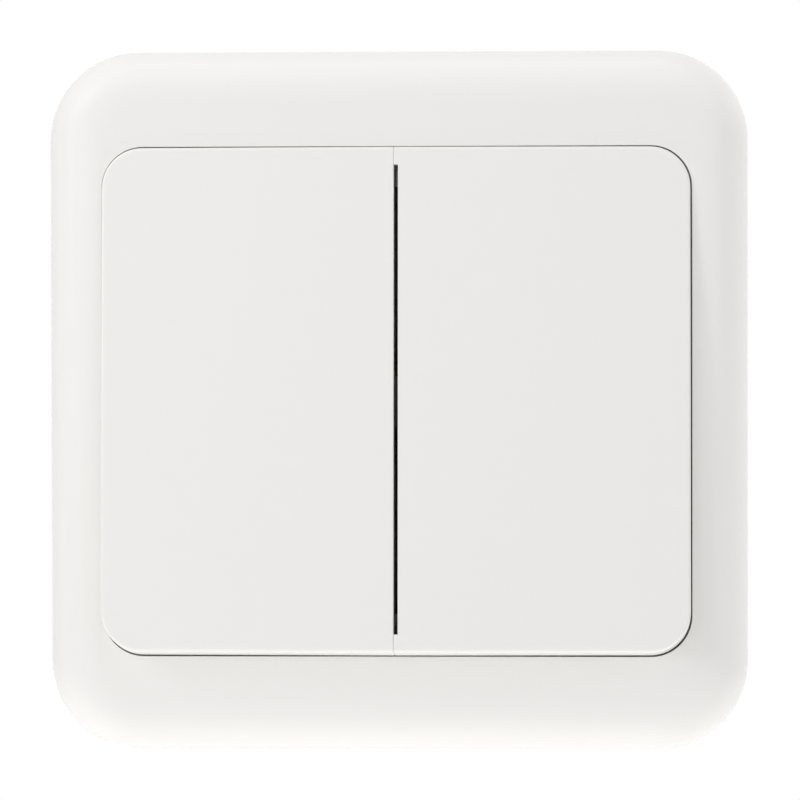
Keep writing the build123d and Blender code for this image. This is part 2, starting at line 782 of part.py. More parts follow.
def all_pieces():
    """Every node by name, in the wall frame."""
    one_terminal, right_claw = terminal(), claw()
    pieces = {
        "front_frame": front_frame(),
        "left_rocker": hinged(mirror(rocker(rocker_inner), Plane.YZ)),
        "right_rocker": hinged(rocker(nib_inner)),
        "bearing_plate": bearing_plate(),
        "support_yoke": support_yoke(),
        "base_block": base_block(),
        "common_bus": common_bus(),
        "common_terminal": Pos(0, terminal_offset, 0) * Rot(0, 0, 180) * one_terminal,
        "terminal_screws": terminal_screws(),
        "claw_screws": claw_screws(),
    }
    gang = {
        "carrier": hinged(carrier()),
        "plunger": hinged(plunger()),
        "spring": hinged(spring()),
        "contact_seesaw": contact_seesaw(),
        "moving_contact": moving_contact(),
        "fixed_contact": fixed_contact(),
        "fixed_strip": fixed_strip(),
        "terminal": Pos(0, -terminal_offset, 0) * one_terminal,
    }
    for name, side in SIDES.items():
        for piece, shape in gang.items():
            pieces[f"{name}_{piece}"] = Pos(side * gang_offset, 0, 0) * shape
        pieces[f"{name}_claw"] = right_claw if side > 0 else mirror(right_claw, Plane.YZ)
    return pieces


def main():
    os.makedirs("parts", exist_ok=True)
    for name, shape in all_pieces().items():
        export_step(Plane.XZ.location * shape, f"parts/{name}.step")


if __name__ == "__main__":
    main()
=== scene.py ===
import json
from math import cos, radians, sin, sqrt, tan

import bmesh
import bpy
from bmesh.types import BMEdge, BMFace, BMVert
from bpy.props import FloatProperty, FloatVectorProperty, IntProperty, PointerProperty
from bpy.types import Operator, Panel, PropertyGroup
from mathutils import Matrix, Quaternion, Vector

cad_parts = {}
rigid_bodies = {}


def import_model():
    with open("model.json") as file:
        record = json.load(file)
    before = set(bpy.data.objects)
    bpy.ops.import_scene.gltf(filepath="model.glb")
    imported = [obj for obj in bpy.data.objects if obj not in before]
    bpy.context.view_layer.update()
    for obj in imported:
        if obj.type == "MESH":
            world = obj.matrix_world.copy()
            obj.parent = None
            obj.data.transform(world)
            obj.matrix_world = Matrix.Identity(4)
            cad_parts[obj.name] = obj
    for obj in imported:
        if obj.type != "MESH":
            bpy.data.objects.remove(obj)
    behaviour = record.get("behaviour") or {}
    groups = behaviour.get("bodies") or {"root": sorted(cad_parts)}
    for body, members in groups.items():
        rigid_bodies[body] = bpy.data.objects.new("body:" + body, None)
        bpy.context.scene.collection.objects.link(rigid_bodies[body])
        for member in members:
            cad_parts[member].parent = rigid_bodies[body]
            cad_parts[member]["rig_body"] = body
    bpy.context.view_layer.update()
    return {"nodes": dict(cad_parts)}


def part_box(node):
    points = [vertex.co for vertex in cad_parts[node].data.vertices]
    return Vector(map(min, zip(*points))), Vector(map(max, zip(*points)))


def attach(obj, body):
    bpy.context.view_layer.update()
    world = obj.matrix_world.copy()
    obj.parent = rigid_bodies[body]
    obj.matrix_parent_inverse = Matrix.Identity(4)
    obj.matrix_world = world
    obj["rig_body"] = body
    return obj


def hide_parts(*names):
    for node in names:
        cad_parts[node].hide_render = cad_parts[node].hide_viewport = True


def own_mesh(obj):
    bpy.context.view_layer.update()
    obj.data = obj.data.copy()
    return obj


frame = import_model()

bl_info = {
    "name": "Double light switch",
    "version": (1, 0, 0),
    "blender": (4, 5, 0),
    "location": "View3D > Sidebar > Switch",
    "description": "Dresses the packed double light switch and sets up its studio",
    "category": "Object",
}

MM = 0.001
SIDES = {"left": -1, "right": 1}

# Pieces are drawn as on the wall: x right, y up, z out into the room. This turns them into the frame's axes.
ON_WALL = Matrix.Rotation(radians(90), 4, "X")

# Lengths of the mesh work: points that are merged, points on a cut, and points that count as being at a place
WELD = 0.001 * MM
TOUCH = 0.0001 * MM
NEAR = 0.02 * MM

# A joined shape goes this far into its neighbour, and a cutting shape this far past the surface
BITE = 0.2 * MM
BEYOND = 1.0 * MM

# Steps of the rounds, and for a helix or a full circle the steps of one turn
CORNER_STEPS = 16
SHOULDER_STEPS = 14
WINDOW_EDGE_STEPS = 4
ROCKER_EDGE_STEPS = 6
INNER_EDGE_STEPS = 3
SOFT_EDGE_STEPS = 2
WIRE_STEPS = 10
SPRING_STEPS = 28
THREAD_STEPS = 20
HEAD_STEPS = 48
FLOOR_STEPS = 96

# Edges that turn by more than the first three are shaded sharp, and by more than the last are softened
SHARP = radians(30)
SHARP_SCREW = radians(35)
SHARP_WIRE = radians(60)
SOFTENED = radians(40)

# Faces of a CAD copy that turn by less than this are one face
FLAT = radians(0.5)

# Width of the camera's sensor and the nearest thing it sees
SENSOR_MM = 36.0
NEAREST = 10.0 * MM


def linear(code):
    """Linear colour with alpha from an sRGB hex value."""
    parts = [int(code[i:i + 2], 16) / 255 for i in (0, 2, 4)]
    return tuple(c / 12.92 if c <= 0.04045 else ((c + 0.055) / 1.055) ** 2.4 for c in parts) + (1.0,)


def length(name, millimetres, words):
    """Length setting with its default in millimetres."""
    return FloatProperty(
        name=name, description=words, default=millimetres * MM, subtype="DISTANCE", unit="LENGTH", precision=5
    )


def turn(name, degrees, words):
    """Angle setting with its default in degrees."""
    return FloatProperty(
        name=name, description=words, default=radians(degrees), subtype="ANGLE", unit="ROTATION"
    )


def colour(name, code, words):
    """Colour setting with its default as an sRGB hex value."""
    return FloatVectorProperty(
        name=name, description=words, size=4, subtype="COLOR", min=0, max=1, default=linear(code)
    )


def power(name, watts, words):
    """Lamp power setting in watts."""
    return FloatProperty(name=name, description=words, default=watts, min=0, subtype="POWER", unit="POWER")


def point(name, place, words):
    """Place setting in metres."""
    return FloatVectorProperty(
        name=name, description=words, default=place, subtype="TRANSLATION", unit="LENGTH"
    )


class SwitchFrameSizes(PropertyGroup):
    """Sizes of the front frame"""

    side: length("Side", 82.0, "Outer side of the square frame")
    corner: length("Corner", 10.5, "Corner radius seen from the front")
    rise: length("Rise", 8.6, "Wall to the flat front")
    wall: length("Wall", 2.0, "Thickness of the moulding")
    shoulder_radius: length("Shoulder radius", 5.2, "Round between the outer edge and the slope")
    shoulder_width: length("Shoulder width", 5.7, "Outer edge to the crease")
    crease_tilt: turn("Crease tilt", 8.0, "Slope of the shoulder where it meets the flat front")
    crease_round: length("Crease round", 0.5, "Half width of the softened crease")
    side_margin: length("Side margin", 6.6, "Window to outer edge, left and right")
    end_margin: length("End margin", 11.25, "Window to outer edge, top and bottom")
    window_corner: length("Window corner", 4.8, "Corner radius of the window")
    window_draft: turn("Window draft", 3.5, "Lean of the window's walls")
    window_edge: length("Window edge", 0.12, "Round along the window's front edge")
    collar_wall: length("Collar wall", 1.4, "Wall that runs back from the window")
    ledge_width: length("Ledge width", 2.1, "Clip ledge inside the window, top and bottom")
    side_ledge: length("Side ledge", 0.5, "Ledge left and right, that closes the view past the rockers")
    ledge_base: length("Ledge base", 1.6, "Wall to the back of the ledge")
    ledge_thick: length("Ledge thickness", 1.4, "Thickness of the clip ledge")
    ledge_corner: length("Ledge corner", 2.0, "Corner radius of the ledge's opening")
    stiffener_thick: length("Stiffener thickness", 1.2, "Ribs behind the frame")
    stiffener_offset: length("Stiffener offset", 20.0, "Ribs from the middle of each side")


class SwitchRockerSizes(PropertyGroup):
    """Sizes of the rockers and of what they clear"""

    tilt: turn("Tilt", 3.2, "Rocker either side of level")
    stand: length("Stand", 1.8, "Level face above the front of the frame")
    gap: length("Gap", 0.5, "Between the two rockers")
    clearance: length("Clearance", 0.1, "Rocker to window, as it shows")
    crown: length("Crown", 0.085, "Ends stand out by this much more beside the centre gap")
    side_play: length("Side play", 0.08, "Outer sides of both rockers stand this far to the left")
    plate: length("Plate", 2.0, "Thickness of the face")
    wall: length("Wall", 1.5, "Thickness of the skirts")
    edge: length("Edge", 0.35, "Round along the front edge")
    inner_edge: length("Inner edge", 0.15, "Round beside the centre gap")
    nib_length: length("Nib length", 2.0, "Spacer nibs that close the ends of the centre gap")
    nib_edge: length("Nib edge", 0.05, "Round along the nibs")
    nib_clearance: length("Nib clearance", 0.01, "Nib to the other rocker, as it shows")
    hinge_height: length("Hinge height", 4.2, "Hinge axis above the wall")
    skirt_clearance: length("Skirt clearance", 0.6, "Pressed skirt above the ledge")
    web_thick: length("Web thickness", 1.0, "Stiffening webs under the face")
    web_depth: length("Web depth", 1.2, "Depth of the webs")
    web_offset: length("Web offset", 18.0, "Webs from the hinge axis")
    gang_offset: length("Gang offset", 10.5, "Middle of each mechanism from the centre")
    post_offset: length("Post offset", 8.5, "Clip posts from the hinge axis")
    post_width: length("Post width", 5.0, "Width of the clip posts")
    post_thick: length("Post thickness", 2.0, "Thickness of the clip posts")
    barb_reach: length("Barb reach", 0.4, "Barb past the post")
    barb_height: length("Barb height", 1.2, "Height of the barb")
    carrier_plate: length("Carrier plate", 2.05, "Face to the barb, with its play")
    hook_offset: length("Hook offset", 9.0, "Notches for the frame hooks from the centre")
    hook_room: length("Hook room", 3.5, "Half width of each hook notch")
    hook_height: length("Hook height", 2.11, "Top of the hook notches above the hinge axis")
    rib_room: length("Rib room", 5.5, "Half length of the notch for the bearing rib")


class SwitchMetalSizes(PropertyGroup):
    """Sizes of the screws and springs, and the broken edge of the small pieces"""

    soft_edge: length("Soft edge", 0.12, "Broken edge on stamped and moulded pieces")
    screw_slot: length("Screw slot", 0.8, "Width of a screwdriver slot")
    slot_depth: length("Slot depth", 0.8, "Depth of a screwdriver slot")
    thread_pitch: length("Thread pitch", 0.5, "Pitch of the screw threads")
    thread_depth: length("Thread depth", 0.3, "Depth of the screw threads")
    terminal_screw: length("Terminal screw", 3.0, "Diameter of a terminal screw")
    terminal_head: length("Terminal head", 5.0, "Diameter of a terminal screw's head")
    claw_screw: length("Claw screw", 3.0, "Diameter of a claw screw")
    claw_head: length("Claw head", 5.4, "Diameter of a claw screw's head")
    head_height: length("Head height", 1.6, "Height of the screw heads")
    head_edge: length("Head edge", 0.18, "Round along the rim of the screw heads")
    shank_root: length("Shank root", 0.3, "Shank inside the screw's head")
    wire_bore: length("Wire bore", 3.0, "Diameter of a terminal's wire bore")
    tip_clearance: length("Tip clearance", 0.1, "Terminal screw's tip short of the wire bore")
    spring_diameter: length("Spring diameter", 3.4, "Outside of a plunger spring")
    spring_wire: length("Spring wire", 0.5, "Wire of a plunger spring")
    spring_length: length("Spring length", 6.0, "Plunger spring in place")
    spring_foot: length("Spring foot", -5.2, "Foot of a plunger spring from the hinge axis")
    spring_play: length("Spring play", 0.03, "Play at each end of a plunger spring")
    plunger_travel: length("Plunger travel", 0.8, "Plunger's stroke, by which its spring shortens")
    spring_turns: IntProperty(name="Spring turns", description="Turns of a plunger spring", default=6)


class SwitchColours(PropertyGroup):
    """Colours of the materials"""

    white: colour("White", "EFEDEB", "Urea moulding of the frame and rockers")
    phenolic: colour("Phenolic", "5C4330", "Brown moulding of the base and the bearing plate")
    polyamide: colour("Polyamide", "E3DECF", "Natural moulding of the carriers and plungers")
    zinc: colour("Zinc", "C3C6C9", "Plated steel of the yoke, claws and screws")
    brass: colour("Brass", "CBA45A", "Rolled brass of the terminals and strips")
    silver: colour("Silver", "E4E2DC", "Contact pads")
    wire: colour("Spring wire", "90949A", "Drawn steel of the springs")
    floor: colour("Floor", "F4F4F2", "Studio floor")


class SwitchStage(PropertyGroup):
    """Camera, floor and light"""

    distance: length("Distance", 560.0, "Camera to the wall plane")
    field: length("Field", 94.7, "Width seen at the wall plane")
    azimuth: turn("Azimuth", 2.8, "Camera to the right of straight on")
    elevation: turn("Elevation", 1.3, "Camera above straight on")
    roll: turn("Roll", 0.12, "Camera turned clockwise about its view")
    floor_drop: length("Floor drop", 1100.0, "Floor below the middle of the switch")
    floor_size: length("Floor size", 3000.0, "Radius of the floor")
    floor_lift: FloatProperty(
        name="Floor lift", description="Brings the floor up to white", default=0.38, min=0
    )
    room_light: FloatProperty(
        name="Room light", description="Soft light from all round", default=0.615, min=0
    )
    side_light: FloatProperty(
        name="Side light", description="More from the right, less from the left", default=0.61
    )
    panel_size: length("Panel size", 500.0, "Side of each soft panel")
    left_panel: power("Left panel", 2.65, "Soft panel, up on the left")
    left_place: point("Left place", (-0.75, -0.45, 0.5), "Middle of the left panel")
    front_panel: power("Front panel", 1.35, "Soft panel in front, a little to the left")
    front_place: point("Front place", (-0.5, -0.87, 0.0), "Middle of the front panel")
    lamp_size: length("Lamp size", 200.0, "Side of each smaller lamp")
    low_lamp: power("Low lamp", 4.4, "Lamp below, almost level with the wall plane")
    low_place: point("Low place", (0.0, -0.02, -0.99), "Middle of the low lamp")
    top_lamp: power("Top lamp", 1.4, "Lamp above, almost level with the wall plane")
    top_place: point("Top place", (0.0, -0.02, 0.99), "Middle of the top lamp")
    side_lamp: power("Side lamp", 0.55, "Lamp on the left, almost level with the wall plane")
    side_place: point("Side place", (-0.99, 0.05, 0.0), "Middle of the side lamp")
    key_lamp: power("Key lamp", 2.05, "Lamp low from the left, that gives the rockers' shadow")
    key_place: point("Key place", (-0.86, -0.5, 0.1), "Middle of the key lamp")


def add_node(tree, kind, links=(), values=(), **settings):
    """Node with its settings, its socket values and its incoming links."""
    node = tree.nodes.new(kind)
    for name, value in settings.items():
        setattr(node, name, value)
    for socket, value in values:
        node.inputs[socket].default_value = value
    for source, socket in links:
        tree.links.new(source, node.inputs[socket])
    return node


def start_material(name):
    """Empty material with its tree, its shader and Object coordinates."""
    material = bpy.data.materials.new(name)
    material.use_nodes = True
    tree = material.node_tree
    tree.nodes.clear()
    shader = add_node(tree, "ShaderNodeBsdfPrincipled")
    add_node(tree, "ShaderNodeOutputMaterial", links=[(shader.outputs["BSDF"], "Surface")])
    place = add_node(tree, "ShaderNodeTexCoord").outputs["Object"]
    return material, tree, shader, place


def shade(code, factor):
    """A colour made lighter or darker."""
    return tuple(min(1.0, c * factor) for c in code[:3]) + (1.0,)


def white_urea():
    """White urea moulding."""
    # Hard resin with a paper filler, from a polished tool: even gloss over a very faint speckle of the filler
    material, tree, shader, place = start_material("white_urea_moulding")
    white = bpy.context.scene.switch_colours.white
    speckle = 1 / (0.5 * MM)
    grains = add_node(
        tree, "ShaderNodeTexNoise", links=[(place, "Vector")], values=[("Scale", speckle), ("Detail", 3)]
    )
    tint = add_node(tree, "ShaderNodeValToRGB", links=[(grains.outputs["Fac"], "Fac")])
    tint.color_ramp.elements[0].color = shade(white, 0.994)
    tint.color_ramp.elements[1].color = shade(white, 1.004)
    tree.links.new(tint.outputs["Color"], shader.inputs["Base Color"])
    shader.inputs["Roughness"].default_value = 0.26
    shader.inputs["IOR"].default_value = 1.54
    return material


def dark_phenolic():
    """Dark phenolic moulding."""
    # Wood-filled resin: dark brown with faint flow marks, specks of the filler, a satin skin and a fine grit
    material, tree, shader, place = start_material("dark_phenolic_moulding")
    brown = bpy.context.scene.switch_colours.phenolic
    flow = 1 / (5.0 * MM)
    grit = 1 / (0.4 * MM)
    marks = add_node(
        tree, "ShaderNodeTexNoise", links=[(place, "Vector")],
        values=[("Scale", flow), ("Detail", 9), ("Roughness", 0.7)],
    )
    tint = add_node(tree, "ShaderNodeValToRGB", links=[(marks.outputs["Fac"], "Fac")])
    tint.color_ramp.elements[0].position = 0.3
    tint.color_ramp.elements[0].color = shade(brown, 0.8)
    tint.color_ramp.elements[1].position = 0.75
    tint.color_ramp.elements[1].color = shade(brown, 1.16)
    tree.links.new(tint.outputs["Color"], shader.inputs["Base Color"])
    satin = add_node(
        tree, "ShaderNodeMapRange", links=[(marks.outputs["Fac"], "Value")],
        values=[("To Min", 0.36), ("To Max", 0.52)],
    )
    tree.links.new(satin.outputs["Result"], shader.inputs["Roughness"])
    grains = add_node(
        tree, "ShaderNodeTexNoise", links=[(place, "Vector")], values=[("Scale", grit), ("Detail", 2)]
    )
    skin = add_node(
        tree, "ShaderNodeBump", links=[(grains.outputs["Fac"], "Height")],
        values=[("Strength", 0.3), ("Distance", 0.03 * MM)],
    )
    tree.links.new(skin.outputs["Normal"], shader.inputs["Normal"])
    shader.inputs["IOR"].default_value = 1.6
    return material


def natural_polyamide():
    """Natural polyamide moulding."""
    # Unpigmented nylon: milky cream that lets a little light in, with a dull waxy skin
    material, tree, shader, place = start_material("natural_polyamide_moulding")
    cream = bpy.context.scene.switch_colours.polyamide
    cloud = 1 / (6.0 * MM)
    clouds = add_node(
        tree, "ShaderNodeTexNoise", links=[(place, "Vector")], values=[("Scale", cloud), ("Detail", 3)]
    )
    tint = add_node(tree, "ShaderNodeValToRGB", links=[(clouds.outputs["Fac"], "Fac")])
    tint.color_ramp.elements[0].color = shade(cream, 0.92)
    tint.color_ramp.elements[1].color = cream
    tree.links.new(tint.outputs["Color"], shader.inputs["Base Color"])
    waxy = add_node(
        tree, "ShaderNodeMapRange", links=[(clouds.outputs["Fac"], "Value")],
        values=[("To Min", 0.4), ("To Max", 0.55)],
    )
    tree.links.new(waxy.outputs["Result"], shader.inputs["Roughness"])
    shader.inputs["Subsurface Weight"].default_value = 0.3
    shader.inputs["Subsurface Scale"].default_value = 1.0 * MM
    shader.inputs["Subsurface Radius"].default_value = (1.0, 0.85, 0.6)
    shader.inputs["IOR"].default_value = 1.53
    return material


def rolled_metal(name, base, line, low, high, patch, tone):
    """Metal strip from its colour, the spacing of its lines, its least and most roughness, and its patches.

    The lines run along the rolling direction. The patches are of another tone, in the plating or tarnish.
    """
    material, tree, shader, place = start_material(name)
    run = 25 * line
    streak = add_node(
        tree, "ShaderNodeMapping", links=[(place, "Vector")],
        values=[("Scale", (1 / run, 1 / line, 1 / line))],
    )
    lines = add_node(
        tree, "ShaderNodeTexNoise", links=[(streak.outputs["Vector"], "Vector")],
        values=[("Scale", 1.0), ("Detail", 2)],
    )
    patches = add_node(
        tree, "ShaderNodeTexNoise", links=[(place, "Vector")], values=[("Scale", 1 / patch), ("Detail", 3)]
    )
    tint = add_node(tree, "ShaderNodeValToRGB", links=[(patches.outputs["Fac"], "Fac")])
    tint.color_ramp.elements[0].position = 0.3
    tint.color_ramp.elements[0].color = tone
    tint.color_ramp.elements[1].position = 0.65
    tint.color_ramp.elements[1].color = base
    tree.links.new(tint.outputs["Color"], shader.inputs["Base Color"])
    gloss = add_node(
        tree, "ShaderNodeMapRange", links=[(lines.outputs["Fac"], "Value")],
        values=[("To Min", low), ("To Max", high)],
    )
    tree.links.new(gloss.outputs["Result"], shader.inputs["Roughness"])
    skin = add_node(
        tree, "ShaderNodeBump", links=[(lines.outputs["Fac"], "Height")],
        values=[("Strength", 0.3), ("Distance", 0.02 * MM)],
    )
    tree.links.new(skin.outputs["Normal"], shader.inputs["Normal"])
    shader.inputs["Metallic"].default_value = 1.0
    return material


def zinc_steel():
    """Zinc-plated steel."""
    # Bright zinc over rolled sheet: cool grey, faint straw patches from the passivation, fine rolling lines
    # The lines are about 0.05 mm apart on real sheet, and are drawn at 0.35 mm so that they show
    zinc = bpy.context.scene.switch_colours.zinc
    return rolled_metal("zinc_plated_steel", zinc, 0.35 * MM, 0.26, 0.42, 9.0 * MM, linear("C4BFAE"))


def rolled_brass():
    """Rolled brass."""
    # Warm yellow metal, browner where it has begun to tarnish
    # The rolling lines are about 0.05 mm apart on real strip, and are drawn at 0.3 mm so that they show
    brass = bpy.context.scene.switch_colours.brass
    return rolled_metal("rolled_brass", brass, 0.3 * MM, 0.2, 0.36, 5.0 * MM, linear("B08A44"))


def contact_silver():
    """Contact silver."""
    # Soft pale metal with a slightly yellow sulphide haze in patches
    silver = bpy.context.scene.switch_colours.silver
    return rolled_metal("contact_silver", silver, 0.3 * MM, 0.24, 0.34, 2.0 * MM, linear("D5CDB6"))


def drawn_wire():
    """Drawn spring steel."""
    # Grey wire with die lines, drawn at 0.15 mm so that they show
    wire = bpy.context.scene.switch_colours.wire
    return rolled_metal("drawn_spring_steel", wire, 0.15 * MM, 0.28, 0.42, 3.0 * MM, linear("7B7F86"))


def background_rays(tree):
    """One for rays of the camera and of reflections, none for those that light the object."""
    path = add_node(tree, "ShaderNodeLightPath")
    seen = path.outputs["Is Camera Ray"]
    for ray in ("Is Glossy Ray", "Is Transmission Ray"):
        seen = add_node(
            tree, "ShaderNodeMath", links=[(seen, 0), (path.outputs[ray], 1)], operation="MAXIMUM"
        ).outputs[0]
    return seen


def floor_paper():
    """Uncoated paper of the studio floor."""
    # Matt paper with faint clouds of fibre
    # The camera and reflections see it brought up to white, and the shadow on it stays
    material, tree, shader, place = start_material("uncoated_paper")
    pale = bpy.context.scene.switch_colours.floor
    cloud = 1 / (8.0 * MM)
    fibres = add_node(
        tree, "ShaderNodeTexNoise", links=[(place, "Vector")], values=[("Scale", cloud), ("Detail", 6)]
    )
    tint = add_node(tree, "ShaderNodeValToRGB", links=[(fibres.outputs["Fac"], "Fac")])
    tint.color_ramp.elements[0].color = shade(pale, 0.98)
    tint.color_ramp.elements[1].color = shade(pale, 1.02)
    tree.links.new(tint.outputs["Color"], shader.inputs["Base Color"])
    shader.inputs["Roughness"].default_value = 0.9
    shader.inputs["Emission Color"].default_value = (1, 1, 1, 1)
    lift = add_node(
        tree, "ShaderNodeMath", links=[(background_rays(tree), 0)],
        values=[(1, bpy.context.scene.switch_stage.floor_lift)], operation="MULTIPLY",
    )
    tree.links.new(lift.outputs[0], shader.inputs["Emission Strength"])
    return material


FINISHES = {
    "white_plastic": white_urea,
    "dark_plastic": dark_phenolic,
    "natural_plastic": natural_polyamide,
    "zinc_steel": zinc_steel,
    "brass": rolled_brass,
    "silver": contact_silver,
    "spring_wire": drawn_wire,
}


def finish_of(name):
    """Material of a finish, made once."""
    for material in bpy.data.materials:
        if material.get("finish") == name:
            return material
    material = FINISHES[name]()
    material["finish"] = name
    return material


def place_piece(bm, node, body, finish, sharp=SHARP, soft=0.0):
    """Turns a bmesh into the piece that stands for a CAD node and rides on a body."""
    for face in bm.faces:
        face.smooth = True
    name = f"dressed_{node}"
    mesh = bpy.data.meshes.new(name)
    bm.to_mesh(mesh)
    bm.free()
    mesh.set_sharp_from_angle(angle=sharp)
    mesh.materials.append(finish_of(finish))
    piece = bpy.data.objects.new(name, mesh)
    bpy.context.scene.collection.objects.link(piece)
    if soft:
        bevel = piece.modifiers.new("soft_edge", "BEVEL")
        bevel.width = soft
        bevel.segments = SOFT_EDGE_STEPS
        bevel.limit_method = "ANGLE"
        bevel.angle_limit = SOFTENED
    weights = piece.modifiers.new("flat_faces_stay_flat", "WEIGHTED_NORMAL")
    weights.keep_sharp = True
    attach(piece, body)
    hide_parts(node)
    return piece


def both(*pieces):
    """Names of pieces that stand on the left and on the right."""
    return [f"{side}_{piece}" for side in SIDES for piece in pieces]


def dress_copies(nodes, finish):
    """Pieces with softened edges over CAD nodes whose shape is right."""
    soft = bpy.context.scene.switch_metal.soft_edge
    for node in nodes:
        bm = bmesh.new()
        bm.from_mesh(frame["nodes"][node].data)
        bmesh.ops.remove_doubles(bm, verts=bm.verts, dist=WELD)
        bmesh.ops.dissolve_limit(bm, angle_limit=FLAT, verts=bm.verts, edges=bm.edges)
        place_piece(bm, node, frame["nodes"][node]["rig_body"], finish, soft=soft)


def of_kind(geom, kind):
    """Those items of an operator's result that are of one kind."""
    return [item for item in geom if isinstance(item, kind)]


def with_rims(faces):
    """Faces with their edges and corners, each once."""
    edges = dict.fromkeys(edge for face in faces for edge in face.edges)
    verts = dict.fromkeys(vert for face in faces for vert in face.verts)
    return [*faces, *edges, *verts]


def round_off(bm, geom, radius, steps, affect="EDGES"):
    """Rounds edges or corners."""
    bmesh.ops.bevel(
        bm, geom=geom, offset=radius, offset_type="OFFSET", affect=affect, segments=steps, profile=0.5,
        material=-1,
    )


def carry_rings(bm, rings):
    """Closed shell from rounded rectangles, each (half width, half height, corner radius, level).

    The first ring is drawn. Each further one is extruded from the last, with its corners moved and scaled.
    """
    half_x, half_y, radius, level = rings[0]
    verts = bmesh.ops.create_grid(bm, x_segments=1, y_segments=1, size=1.0)["verts"]
    bmesh.ops.scale(bm, vec=(half_x, half_y, 1), verts=verts)
    bmesh.ops.translate(bm, vec=(0, 0, level), verts=verts)
    round_off(bm, verts, radius, CORNER_STEPS, affect="VERTICES")
    edges = bm.edges[:]
    bmesh.ops.delete(bm, geom=bm.faces[:], context="FACES_ONLY")
    for (old_x, old_y, old_r, old_z), (new_x, new_y, new_r, new_z) in zip(rings, rings[1:] + rings[:1]):
        grown = bmesh.ops.extrude_edge_only(bm, edges=edges)["geom"]
        edges, verts = of_kind(grown, BMEdge), of_kind(grown, BMVert)
        growth = new_r / old_r
        for right in (-1, 1):
            for up in (-1, 1):
                corner = [vert for vert in verts if vert.co.x * right > 0 and vert.co.y * up > 0]
                centre = Vector((right * (old_x - old_r), up * (old_y - old_r), old_z))
                target = Vector((right * (new_x - new_r), up * (new_y - new_r), new_z))
                bmesh.ops.scale(bm, vec=(growth, growth, 1), space=Matrix.Translation(-centre), verts=corner)
                bmesh.ops.translate(bm, vec=target - centre, verts=corner)
    bmesh.ops.remove_doubles(bm, verts=bm.verts, dist=WELD)
    bmesh.ops.recalc_face_normals(bm, faces=bm.faces)


def box(bm, low, high):
    """Box between two corners."""
    verts = bmesh.ops.create_cube(bm, size=1.0)["verts"]
    bmesh.ops.scale(bm, vec=Vector(high) - Vector(low), verts=verts)
    bmesh.ops.translate(bm, vec=(Vector(high) + Vector(low)) / 2, verts=verts)


def combine(bm, tool, operation):
    """Cuts one shape from another or joins the two, and gives the new shape."""
    pair = []
    for shape in (bm, tool):
        mesh = bpy.data.meshes.new("shape")
        shape.to_mesh(mesh)
        shape.free()
        pair.append(bpy.data.objects.new("shape", mesh))
        bpy.context.scene.collection.objects.link(pair[-1])
    change = pair[0].modifiers.new("change", "BOOLEAN")
    change.operation = operation
    change.solver = "EXACT"
    change.object = pair[1]
    bpy.context.view_layer.update()
    result = bmesh.new()
    result.from_mesh(pair[0].evaluated_get(bpy.context.evaluated_depsgraph_get()).to_mesh())
    for item in pair:
        mesh = item.data
        bpy.data.objects.remove(item)
        bpy.data.meshes.remove(mesh)
    return result


